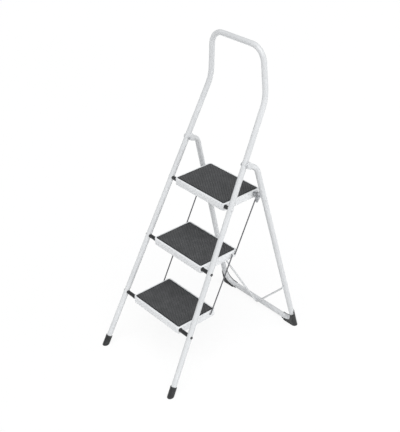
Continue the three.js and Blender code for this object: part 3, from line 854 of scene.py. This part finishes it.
# ---- Rivets and axles ----
def head_profile(radius, height, skirt):
    """Half a rivet head from its buried skirt over the dome to its tip."""
    dome = arc(1, 12, 90, 8)
    edge = 0.25 * height
    return [
        (radius * 0.6, -skirt),
        (radius, -skirt),
        (radius, edge * 0.5),
        *[(radius * (0.04 + 0.96 * a) * 0.99, edge + (height - edge) * b) for a, b in dome],
    ]


def add_head(shell, x, y, z, radius, height, side, skirt=0.3 * MM):
    shell.lathe(Vector((x, y, z)), (side, 0, 0), head_profile(radius, height, skirt))


def add_pin(shell, x0, x1, y, z, radius):
    shell.sweep([Vector((x0, y, z)), Vector((x1, y, z))], circle(radius, 24), Vector((0, 1, 0)))


def head_seat(x, taper):
    return x + TUBE_R + GAP + HEAD_R * taper


def axle(name):
    """A rivetted axle, whose heads are drawn down on the legs."""
    place = AXLES[name]
    end = head_seat(front_x(place.z), FRONT_TAPER)
    shell = Shell()
    add_pin(shell, -end, end, place.y, place.z, AXLE_R)
    for side in (-1, 1):
        add_head(shell, side * end, place.y, place.z, HEAD_R, HEAD_H, side, 2.2 * MM)
    look, slot = (COAT, "white_powder_coat") if name == "top" else (DARK, "dark_steel")
    finish_piece(to_object("axle", shell), f"{name}_axle_rod", f"{name}_axle", look, slot)


def pivot_rivet(word, side):
    inner = PIVOT_X - FORK_HALF - GAP
    outer = PIVOT_X + FORK_HALF + GAP
    shell = Shell()
    add_pin(shell, side * inner, side * outer, PIVOT.y, PIVOT.z, AXLE_R)
    add_head(shell, side * inner, PIVOT.y, PIVOT.z, HEAD_R, INNER_HEAD_H, -side)
    add_head(shell, side * outer, PIVOT.y, PIVOT.z, HEAD_R, HEAD_H, side)
    finish_piece(to_object("rivet", shell), f"hinge_rivet_{word}", f"pivot_rivet_{word}",
                 ZINC, "zinc_steel")


def leg_surface_x(side, y, z, radius):
    """Where a line along X at (y, z) meets a front leg's inner side."""
    start = Vector((side * front_x(z), front_y(z), z))
    along = Vector((-side * FRONT_TAPER, LEAN, 1)).normalized()
    offset = Vector((0, y, z)) - start
    # The distance from the leg's axis is `radius` at the sought X: a quadratic in X.
    a = 1 - along.x ** 2
    flat = offset - along * offset.dot(along)
    b = 2 * flat.x
    c = flat.length_squared - radius ** 2
    root = math.sqrt(max(b * b - 4 * a * c, 0))
    return (-b - side * root) / (2 * a)


def spacer(name, word, side):
    """A moulded bush between tread and leg: a flange at the tread, a saddle at the leg."""
    place = AXLES[name]
    low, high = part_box(f"{name}_step")
    start = high.x + GAP

    def ring(radius, x):
        return [Vector((side * x, place.y + a, place.z + b)) for a, b in circle(radius, 40)]

    sections = [ring(SPACER_R - 0.8 * MM, start), ring(SPACER_R - 0.2 * MM, start + 0.2 * MM),
                ring(SPACER_R, start + 0.8 * MM), ring(SPACER_R, start + 2.2 * MM),
                ring(SPACER_R - 0.7 * MM, start + 2.8 * MM)]
    for inset, back in [(0.7, 1.2), (0.9, 0.4), (1.6, 0.0)]:
        radius = SPACER_R - inset * MM
        saddle = []
        for a, b in circle(radius, 40):
            y, z = place.y + a, place.z + b
            x = leg_surface_x(side, y, z, TUBE_R + GAP) - side * back * MM
            saddle.append(Vector((x, y, z)))
        sections.append(saddle)
    shell = Shell().loft(sections)
    finish_piece(to_object("bush", shell), f"{name}_bush_{word}", f"{name}_spacer_{word}",
                 PLASTIC, "black_plastic")


# ---- Treads ----
def pan(name):
    """A pressed pan: recess for the mat, bright rim, rolled edge, skirt, and a return lip."""
    low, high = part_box(f"{name}_step")
    half, y0, y1 = high.x, low.y, high.y
    z0, top = low.z, high.z

    def ring(inset, z):
        share = min(max(inset / RIM, 0), 1)
        radius = mix(PAN_CORNER_R, MAT_CORNER_R - 0.5 * MM, share)
        return [(x, y, z) for x, y in rounded_ring(half - inset, y0 + inset, y1 - inset, radius, 8)]

    def corner(inset, z, radius, start, end, steps=5):
        """Rings round one fold, whose centre is at (inset, z)."""
        return [ring(inset - a, z + b) for a, b in arc(radius, start, end, steps)]

    step = RIM + 0.1 * MM
    sections = [
        ring(step + 6 * MM, top - RECESS),
        *corner(step + 0.7 * MM, top - RECESS + 0.7 * MM, 0.7 * MM, -90, 0, 3),
        *corner(step - 0.6 * MM, top - 0.6 * MM, -0.6 * MM, 0, -90, 3),
        *corner(PAN_EDGE_R, top - PAN_EDGE_R, PAN_EDGE_R, 90, 0),
        *corner(FOLD_R, z0 + FOLD_R, FOLD_R, 0, -90),
        ring(LIP, z0),
        ring(LIP + 0.4 * MM, z0 + SHEET / 2),
        ring(LIP, z0 + SHEET),
        *corner(FOLD_R, z0 + FOLD_R, FOLD_R - SHEET, -90, 0),
        *corner(PAN_EDGE_R, top - PAN_EDGE_R, PAN_EDGE_R - SHEET, 0, 90),
        ring(step + SHEET, top - SHEET),
        ring(step + SHEET, top - RECESS - SHEET),
        ring(step + 6 * MM, top - RECESS - SHEET),
    ]
    obj = to_object("pan", Shell().loft(sections))
    drill_pan(obj, name, half)
    finish_piece(obj, f"{name}_pan", f"{name}_step", ENAMEL, "white_enamel", 35)


def drill_pan(obj, name, half):
    """Round holes for the axle and for the hooked wires, through both skirts."""
    place = AXLES[name]
    low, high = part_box(f"{name}_step")
    holes = [(place.y, place.z, AXLE_R + GAP)]
    for link_name in ("upper_link", "lower_link"):
        for end in ("top", "bottom"):
            spot = centre(f"{link_name}_right_{end}_clip")
            if low.z < spot.z < high.z:
                holes.append((spot.y, spot.z, HOLE_R))
    for y, z, radius in holes:
        for side in (-1, 1):
            ends = [Vector((side * (half + d), y, z)) for d in (-9 * MM, 4 * MM)]
            drill(obj, *ends, radius)


TIPS = [(1, 0), (0, 1), (-1, 0), (0, -1)]  # of a diamond, and the ways to a cell's sides
CELL_CORNERS = [(1, 1), (-1, 1), (-1, -1), (1, -1)]


class MatMesh:
    """The faces of a mat: a grid of cells, each with a raised diamond, whose corners are shared."""

    def __init__(self, low, high):
        self.low, self.high = low, high
        self.base = high.z - DIAMOND_RISE
        wide = high.x - low.x - 2 * MAT_BORDER
        deep = high.y - low.y - 2 * MAT_BORDER
        self.columns, self.rows = int(wide / DIAMOND_PITCH), int(deep / DIAMOND_PITCH)
        self.pitch_x, self.pitch_y = wide / self.columns, deep / self.rows
        self.bm = bmesh.new()
        self.known = {}

    def vert(self, x, y, raised):
        key = (round(x / MM * 100), round(y / MM * 100), raised)
        if key not in self.known:
            z = self.high.z if raised else self.base
            at = (self.low.x + MAT_BORDER + x, self.low.y + MAT_BORDER + y, z)
            self.known[key] = self.bm.verts.new(at)
        return self.known[key]

    def face(self, *corners):
        unique = list(dict.fromkeys(self.vert(*c) for c in corners))
        if len(unique) > 2 and self.bm.faces.get(unique) is None:
            self.bm.faces.new(unique)

    def cell(self, cx, cy):
        """The raised diamond in the middle of a cell, and the ground round it."""
        foot, crown = DIAMOND_HALF, DIAMOND_HALF - DIAMOND_SLOPE
        tops = [(cx + a * crown, cy + b * crown, True) for a, b in TIPS]
        feet = [(cx + a * foot, cy + b * foot, False) for a, b in TIPS]
        self.face(*tops)
        for k in range(4):
            self.face(feet[k], feet[(k + 1) % 4], tops[(k + 1) % 4], tops[k])
        for k, corner in enumerate(CELL_CORNERS):
            self.corner(cx, cy, corner, (feet[k], feet[(k + 1) % 4]), k % 2 == 0)
        for k, (sx, sy) in enumerate(TIPS):
            ex, ey = cx + sx * self.pitch_x / 2, cy + sy * self.pitch_y / 2
            if sx:
                reach = self.pitch_y / 2
                ends = [(ex, ey - reach + foot, False), (ex, ey + reach - foot, False)]
            else:
                reach = self.pitch_x / 2
                ends = [(ex - reach + foot, ey, False), (ex + reach - foot, ey, False)]
            self.face(feet[k], *ends)

    def corner(self, cx, cy, way, feet, along_x):
        """A quarter of the diamond that four cells share, flat at the border of the mat."""
        foot, crown = DIAMOND_HALF, DIAMOND_HALF - DIAMOND_SLOPE
        sx, sy = way
        ex, ey = cx + sx * self.pitch_x / 2, cy + sy * self.pitch_y / 2
        inside_x = 0 < round(ex / self.pitch_x) < self.columns
        inner = inside_x and 0 < round(ey / self.pitch_y) < self.rows
        near = [(ex - sx * foot, ey, False), (ex, ey - sy * foot, False)]
        crowns = [(ex - sx * crown, ey, inner), (ex, ey - sy * crown, inner)]
        a, b = (near[1], near[0]) if along_x else (near[0], near[1])
        self.face(feet[0], a, b, feet[1])
        self.face(near[0], near[1], crowns[1], crowns[0])
        self.face(crowns[0], crowns[1], (ex, ey, inner))

    def outline(self, inset, z):
        half, low, high = (self.high.x - self.low.x) / 2, self.low, self.high
        ring = rounded_ring(half - inset, low.y + inset, high.y - inset, MAT_CORNER_R - inset, 8)
        return [self.bm.verts.new((a, b, z)) for a, b in ring]

    def close(self):
        """The plain border, the rounded edge, the sides and the underside."""
        bm, base = self.bm, self.base
        edges = [e for e in bm.edges if e.is_boundary]
        steps = [(0.5 * MM, base), (0.15 * MM, base - 0.15 * MM), (0, base - 0.5 * MM), (0, self.low.z)]
        rings = [self.outline(inset, z) for inset, z in steps]
        count = len(rings[0])
        loop = [bm.edges.new((rings[0][k], rings[0][(k + 1) % count])) for k in range(count)]
        bmesh.ops.triangle_fill(bm, edges=edges + loop, use_beauty=True)
        for a, b in zip(rings, rings[1:]):
            for k in range(count):
                bm.faces.new((a[k], a[(k + 1) % count], b[(k + 1) % count], b[k]))
        bm.faces.new(rings[-1])
        bmesh.ops.recalc_face_normals(bm, faces=bm.faces)


def mat(name):
    """A rubber mat with rows of raised diamonds inside a plain border."""
    made = MatMesh(*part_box(f"{name}_mat"))
    for i in range(made.columns):
        for j in range(made.rows):
            made.cell((i + 0.5) * made.pitch_x, (j + 0.5) * made.pitch_y)
    made.close()
    mesh = bpy.data.meshes.new("mat")
    made.bm.to_mesh(mesh)
    made.bm.free()
    obj = bpy.data.objects.new("mat", mesh)
    bpy.context.scene.collection.objects.link(obj)
    finish_piece(obj, f"{name}_diamond_mat", f"{name}_mat", RUBBER, "rubber_mat", 20)


# ---- Links and clips ----
def link(name, word, side):
    """A wire whose hooked ends turn into the treads and are rounded off."""
    node = f"{name}_{word}"
    end, far = span_x(*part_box(node))
    outer = far - WIRE_R
    top, bottom = centre(f"{node}_top_clip"), centre(f"{node}_bottom_clip")
    path = bent_path([
        (Vector((side * end, top.y, top.z)), 0),
        (Vector((side * outer, top.y, top.z)), WIRE_BEND_R),
        (Vector((side * outer, bottom.y, bottom.z)), WIRE_BEND_R),
        (Vector((side * end, bottom.y, bottom.z)), 0),
    ], math.radians(9))
    first, last = path[0], path[-1]
    nose = 0.8 * MM
    path = [first, first + X_AXIS * side * nose, *path[1:-1], last + X_AXIS * side * nose, last]

    def rounded_end(station, point):
        if (station - first).length < nose / 2 or (station - last).length < nose / 2:
            return station.lerp(point, 0.6)
        return point

    shell = Shell().sweep(path, circle(WIRE_R, 20), Vector((0, 0, 1)), rounded_end)
    finish_piece(to_object("wire", shell), f"{node}_wire", node, WIRE, "dark_steel")


def clip(node):
    """A push-on star clip: a shallow dished ring with eight spring teeth."""
    low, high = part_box(node)
    middle = (low + high) / 2
    side = math.copysign(1, middle.x)
    near, far = span_x(low, high)
    sides = 64
    radii = [CLIP_R, CLIP_R - 0.4 * MM, CLIP_R - 1.5 * MM]

    def tooth(k):
        """Inner edge: teeth reach the wire, and slots between them run outwards."""
        return WIRE_R + (0.15 if (k // 4) % 2 == 0 else 1.2) * MM

    def ring(radius_of, x):
        points = []
        for k in range(sides):
            angle = 2 * math.pi * k / sides
            radius = radius_of(k)
            y, z = radius * math.cos(angle), radius * math.sin(angle)
            points.append((side * x, middle.y + y, middle.z + z))
        return points

    thick = 0.5 * MM
    sections = [
        ring(lambda k: radii[0], far),
        ring(lambda k: radii[1], far),
        ring(lambda k: radii[2], mix(far, near, 0.3)),
        ring(tooth, near + thick * 0.6),
        ring(tooth, near),
        ring(lambda k: radii[2], mix(far, near, 0.3) - thick),
        ring(lambda k: radii[1], far - thick * 1.3),
        ring(lambda k: radii[0], far - thick * 1.1),
    ]
    shell = Shell().loft(sections, capped=False)
    finish_piece(to_object("clip", shell), f"{node}_star", node, ZINC, "zinc_steel")


# ---- Catches ----
PIN = centre("catch_stud_left")


def catch_stud(word, side):
    near, far = span_x(*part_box(f"catch_stud_{word}"))
    radius = CATCH_PIN_R
    inner = near + SMALL_HEAD_H
    shell = Shell()
    length = far - inner
    profile = [(0, 0), (radius, 0), (radius, length - 0.7 * MM),
               (radius - 0.2 * MM, length - 0.2 * MM), (radius - 0.7 * MM, length), (0, length)]
    shell.lathe(Vector((side * inner, PIN.y, PIN.z)), (side, 0, 0), profile)
    add_head(shell, side * inner, PIN.y, PIN.z, SMALL_HEAD_R, SMALL_HEAD_H, -side, 0)
    finish_piece(to_object("stud", shell), f"catch_stud_{word}_pin", f"catch_stud_{word}",
                 ZINC, "zinc_steel")


def catch_plate(word, side):
    """A square backing plate under the stud, with rounded corners and a hole for the stud."""
    low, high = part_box(f"catch_plate_{word}")
    near, far = span_x(low, high)
    half = (high.y - low.y) / 2
    middle = (low + high) / 2
    square = [(sa * half, sb * half, 2 * MM) for sa, sb in ((-1, -1), (1, -1), (1, 1), (-1, 1))]

    def place(a, b, x):
        return Vector((side * x, middle.y + a, middle.z + b))

    plate = outline_plate(fillet(square), place, near, far, 0.35 * MM)
    drill(plate, place(0, 0, near - MM), place(0, 0, far + MM), 3.3 * MM)
    finish_piece(plate, f"catch_plate_{word}_square", f"catch_plate_{word}", ZINC, "zinc_steel")


def hook_outline():
    """The hook in the YZ plane: open above for the stud, falling away behind, round tail."""
    back = rear_y(HOOK_RIVET_Z) + HOOK_BACK
    front = PIN.y - HOOK_SLOT_R
    lip_top = PIN.z + HOOK_LIP_RISE
    points = [(front - HOOK_LIP, lip_top - MM), (front - HOOK_LIP + MM, lip_top), (front - MM, lip_top),
              (front, lip_top - MM)]
    slot = arc(HOOK_SLOT_R, 180, 270 + math.degrees(HOOK_FALL), 12)
    points += [(PIN.y + a, PIN.z + b) for a, b in slot]
    crest = PIN.z + HOOK_CREST
    crest_y = PIN.y + (HOOK_CREST + HOOK_SLOT_R / math.cos(HOOK_FALL)) / math.tan(HOOK_FALL)
    points += [(crest_y - 0.9 * MM, crest - 0.4 * MM), (crest_y + 0.9 * MM, crest),
               (back - 2 * MM, crest), (back, crest - 2 * MM), (back, HOOK_RIVET_Z)]
    points += [(PIN.y + HOOK_TAIL_Y + a, HOOK_TAIL_Z + b) for a, b in arc(HOOK_TAIL_R, -20, -174, 12)]
    return points


def tread_hook(word, side):
    """The hook's plate, with a boss that is hollowed to sit on the rear leg."""
    x0 = span_x(*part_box(f"tread_hook_{word}"))[0]
    x1 = x0 + HOOK_THICK
    y, z = rear_y(HOOK_RIVET_Z), HOOK_RIVET_Z

    def place(a, b, x):
        return Vector((side * x, a, b))

    plate = outline_plate(hook_outline(), place, x0, x1, 0.5 * MM)
    boss_end = rear_x(z) - 2 * MM
    boss_line = [place(y, z, x1 - MM), place(y, z, boss_end)]
    boss = to_object("boss", Shell().sweep(boss_line, circle(HOOK_BOSS_R, 40)))
    boolean(plate, boss, "UNION")
    reach = 40 * MM
    leg = [Vector((side * rear_x(h), rear_y(h), h)) for h in (z - reach, z + reach)]
    drill(plate, *leg, TUBE_R + GAP, 48)
    finish_piece(plate, f"tread_hook_{word}_plate", f"tread_hook_{word}", ZINC, "zinc_steel")


def hook_rivet(word, side):
    z = HOOK_RIVET_Z
    y = rear_y(z)
    inner = span_x(*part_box(f"tread_hook_{word}"))[0] - GAP
    outer = head_seat(rear_x(z), REAR_TAPER)
    shell = Shell()
    add_pin(shell, side * inner, side * outer, y, z, HOOK_RIVET_R)
    add_head(shell, side * inner, y, z, SMALL_HEAD_R, HOOK_RIVET_SEAT, -side, 0.2 * MM)
    add_head(shell, side * outer, y, z, SMALL_HEAD_R, SMALL_HEAD_H, side, 1.5 * MM)
    finish_piece(to_object("rivet", shell), f"hook_rivet_{word}_dome", f"hook_rivet_{word}",
                 COAT, "white_powder_coat")


# ---- The whole stool ----
front_frame()
rear_frame()
rear_brace()
for tread_name in AXLES:
    pan(tread_name)
    mat(tread_name)
    axle(tread_name)
for side_word, sign in SIDES.items():
    front_foot(side_word, sign)
    rear_shoe(side_word, sign)
    pivot_rivet(side_word, sign)
    for tread_name in AXLES:
        spacer(tread_name, side_word, sign)
    for link_name in ("upper_link", "lower_link"):
        link(link_name, side_word, sign)
        clip(f"{link_name}_{side_word}_top_clip")
        clip(f"{link_name}_{side_word}_bottom_clip")
    catch_stud(side_word, sign)
    catch_plate(side_word, sign)
    tread_hook(side_word, sign)
    hook_rivet(side_word, sign)


# ---- Studio ----
FLOOR_R = 30
ROOM_COLOUR = (0.97, 0.985, 1.0, 1)
ROOM_LIGHT = 0.35  # what the room gives to the object
ROOM_SEEN = 1.0  # what the camera sees of the room
SKY_POWER = 2.55
SKY_SOFTNESS = 60  # degrees
SKY_DIRECTION = (-0.325, 0.225, -0.71)
KEY_AT = (2.6, 2.2, 1.9)
KEY_TARGET = (0, 0, 0.6)
KEY_SIZE = (1.6, 2.2)
KEY_POWER = 18


def add_floor():
    shell = Shell()
    shell.faces.append(tuple(shell.ring([(a, b, 0) for a, b in circle(FLOOR_R, 64)])))
    floor = to_object("studio_floor", shell)
    floor.data.materials.append(studio_floor())


def add_area(name, at, target, size, power):
    data = bpy.data.lights.new(name, "AREA")
    data.shape = "RECTANGLE"
    data.size, data.size_y = size
    data.energy = power
    lamp = bpy.data.objects.new(name, data)
    lamp.location = at
    lamp.rotation_euler = (Vector(target) - Vector(at)).to_track_quat("-Z", "Y").to_euler()
    bpy.context.scene.collection.objects.link(lamp)


def add_sun(strength, softness, direction):
    data = bpy.data.lights.new("sky_panel", "SUN")
    data.energy = strength
    data.angle = math.radians(softness)
    lamp = bpy.data.objects.new("sky_panel", data)
    lamp.rotation_euler = Vector(direction).to_track_quat("-Z", "Y").to_euler()
    bpy.context.scene.collection.objects.link(lamp)


def add_world():
    """Soft room light, with near white behind the horizon."""
    world = bpy.data.worlds.new("studio")
    world.use_nodes = True
    tree = world.node_tree
    background = tree.nodes["Background"]
    background.inputs["Color"].default_value = ROOM_COLOUR
    path = tree.nodes.new("ShaderNodeLightPath")
    level = tree.nodes.new("ShaderNodeMapRange")
    level.inputs["To Min"].default_value = ROOM_LIGHT
    level.inputs["To Max"].default_value = ROOM_SEEN
    tree.links.new(path.outputs["Is Camera Ray"], level.inputs["Value"])
    tree.links.new(level.outputs["Result"], background.inputs["Strength"])
    bpy.context.scene.world = world


add_floor()
add_world()
add_sun(SKY_POWER, SKY_SOFTNESS, SKY_DIRECTION)
add_area("key_panel", KEY_AT, KEY_TARGET, KEY_SIZE, KEY_POWER)
bpy.context.scene.view_settings.view_transform = "Standard"
